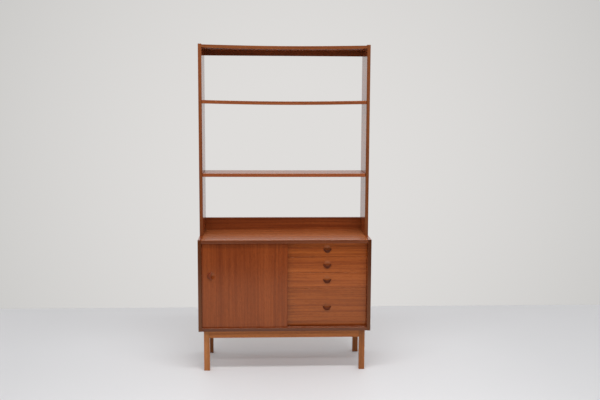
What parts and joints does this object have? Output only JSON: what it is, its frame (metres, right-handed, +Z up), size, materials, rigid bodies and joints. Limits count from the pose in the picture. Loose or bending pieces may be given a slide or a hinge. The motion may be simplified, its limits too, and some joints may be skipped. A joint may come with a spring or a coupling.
{
  "type": "bookcase with adjustable shelves",
  "caption": "Open teak bookcase with adjustable shelves on a deeper case with a sliding door, drawers and a legged base.",
  "frame": {"origin": "on the floor under the middle of the whole width and depth", "axes": "+Z up, +X to the right of a viewer facing the front, front faces -Y"},
  "size_m": [0.9, 0.364, 1.708],
  "materials": {
    "teak_case": "satin oiled teak veneer with solid lippings",
    "teak_door": "satin teak veneer, grain upright",
    "teak_drawer": "satin teak veneer, grain level",
    "dark_pull": "dark polished solid wood",
    "base_teak": "satin solid teak, lighter than the case",
    "drawer_wood": "plain pale hardwood",
    "plywood": "thin plywood",
    "steel_wire": "bright drawn wire"
  },
  "bodies": {
    "carcase": {"upper_side_left": "teak_case", "upper_side_right": "teak_case", "top_board": "teak_case", "top_back_rail": "teak_case", "lower_back_rail": "teak_case", "case_side_left": "teak_case", "case_side_right": "teak_case", "case_top": "teak_case", "case_bottom": "teak_case", "case_back_panel": "plywood", "partition": "teak_case", "leg_front_left": "base_teak", "leg_front_right": "base_teak", "leg_back_left": "base_teak", "leg_back_right": "base_teak", "base_rail_front": "base_teak", "base_rail_back": "base_teak", "base_rail_left": "base_teak", "base_rail_right": "base_teak", "upper_shelf_wire_left": "steel_wire", "upper_shelf_wire_right": "steel_wire", "lower_shelf_wire_left": "steel_wire", "lower_shelf_wire_right": "steel_wire", "inner_shelf_wire_left": "steel_wire", "inner_shelf_wire_right": "steel_wire", "drawer_1_runner_left": "drawer_wood", "drawer_1_runner_right": "drawer_wood", "drawer_2_runner_left": "drawer_wood", "drawer_2_runner_right": "drawer_wood", "drawer_3_runner_left": "drawer_wood", "drawer_3_runner_right": "drawer_wood"},
    "door": {"sliding_door": "teak_door", "door_pull": "dark_pull"},
    "drawer_1": {"drawer_1_front": "teak_drawer", "drawer_1_side_left": "drawer_wood", "drawer_1_side_right": "drawer_wood", "drawer_1_back": "drawer_wood", "drawer_1_bottom": "plywood", "drawer_1_pull": "dark_pull"},
    "drawer_2": {"drawer_2_front": "teak_drawer", "drawer_2_side_left": "drawer_wood", "drawer_2_side_right": "drawer_wood", "drawer_2_back": "drawer_wood", "drawer_2_bottom": "plywood", "drawer_2_pull": "dark_pull"},
    "drawer_3": {"drawer_3_front": "teak_drawer", "drawer_3_side_left": "drawer_wood", "drawer_3_side_right": "drawer_wood", "drawer_3_back": "drawer_wood", "drawer_3_bottom": "plywood", "drawer_3_pull": "dark_pull"},
    "drawer_4": {"drawer_4_front": "teak_drawer", "drawer_4_side_left": "drawer_wood", "drawer_4_side_right": "drawer_wood", "drawer_4_back": "drawer_wood", "drawer_4_bottom": "plywood", "drawer_4_pull": "dark_pull"},
    "upper_shelf": {"upper_shelf": "teak_case"},
    "lower_shelf": {"lower_shelf": "teak_case"},
    "inner_shelf": {"inner_shelf": "teak_case"}
  },
  "joints": [
    {"name": "door_slide", "type": "slide", "parent": "carcase", "child": "door", "axis": [1, 0, 0], "range_m": [0, 0.417]},
    {"name": "drawer_1_slide", "type": "slide", "parent": "carcase", "child": "drawer_1", "axis": [0, 1, 0], "range_m": [-0.23, 0]},
    {"name": "drawer_2_slide", "type": "slide", "parent": "carcase", "child": "drawer_2", "axis": [0, 1, 0], "range_m": [-0.23, 0]},
    {"name": "drawer_3_slide", "type": "slide", "parent": "carcase", "child": "drawer_3", "axis": [0, 1, 0], "range_m": [-0.23, 0]},
    {"name": "drawer_4_slide", "type": "slide", "parent": "carcase", "child": "drawer_4", "axis": [0, 1, 0], "range_m": [-0.23, 0]},
    {"name": "upper_shelf_slide", "type": "slide", "parent": "carcase", "child": "upper_shelf", "axis": [0, -1, 0], "range_m": [0, 0.15]},
    {"name": "lower_shelf_slide", "type": "slide", "parent": "carcase", "child": "lower_shelf", "axis": [0, -1, 0], "range_m": [0, 0.15]},
    {"name": "inner_shelf_slide", "type": "slide", "parent": "carcase", "child": "inner_shelf", "axis": [0, -1, 0], "range_m": [0, 0.018]}
  ]
}
